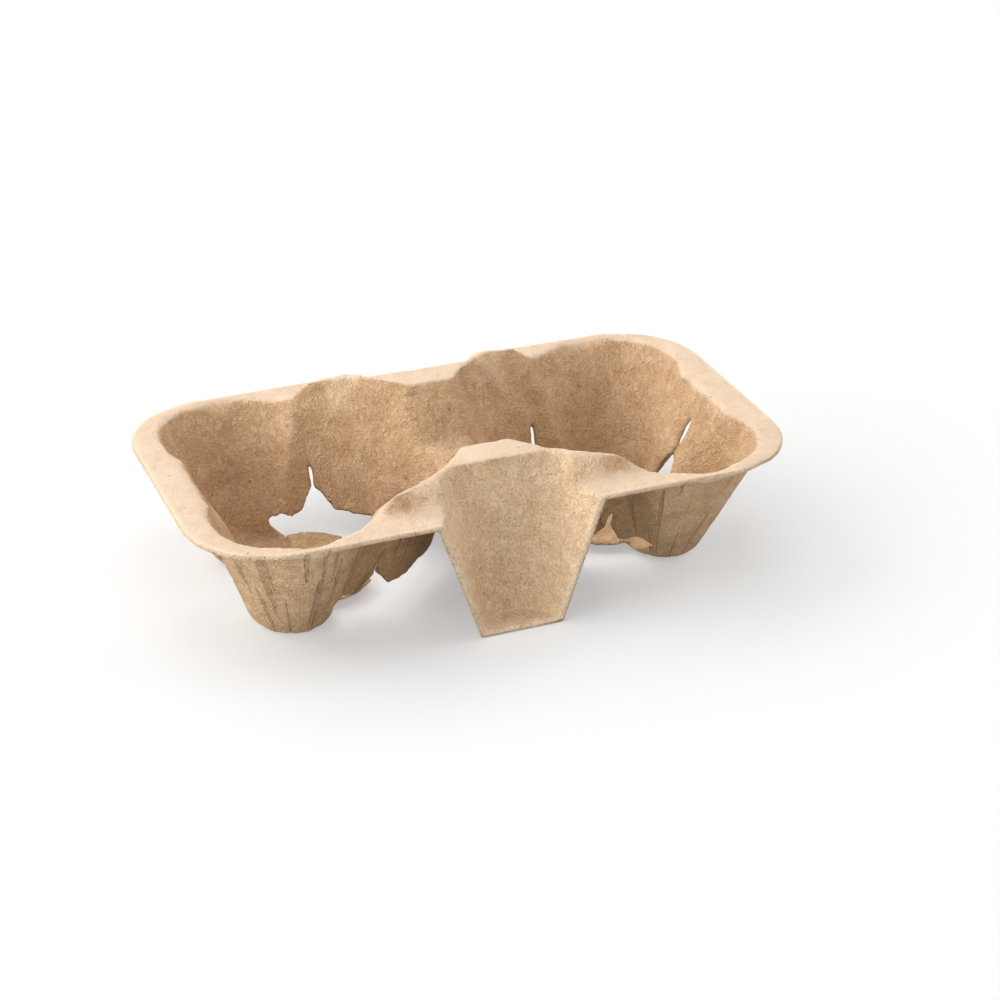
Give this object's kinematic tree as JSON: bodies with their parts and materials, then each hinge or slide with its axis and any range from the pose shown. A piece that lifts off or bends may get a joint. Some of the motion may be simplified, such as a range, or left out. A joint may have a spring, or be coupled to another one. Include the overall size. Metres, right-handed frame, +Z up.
{
  "type": "cup carrier",
  "caption": "Shallow moulded-pulp carrier tray for hot drink cups, with flared side pockets and a raised grip between the wells.",
  "frame": {"origin": "centre of the bounding box in plan, on the table under the feet", "axes": "+X along the long side, through both cup wells; +Y across the tray; +Z up, out of the wells"},
  "size_m": [0.212, 0.12, 0.054],
  "materials": {
    "pulp": "matte"
  },
  "bodies": {
    "root": {"cup_carrier": "pulp"}
  },
  "joints": []
}
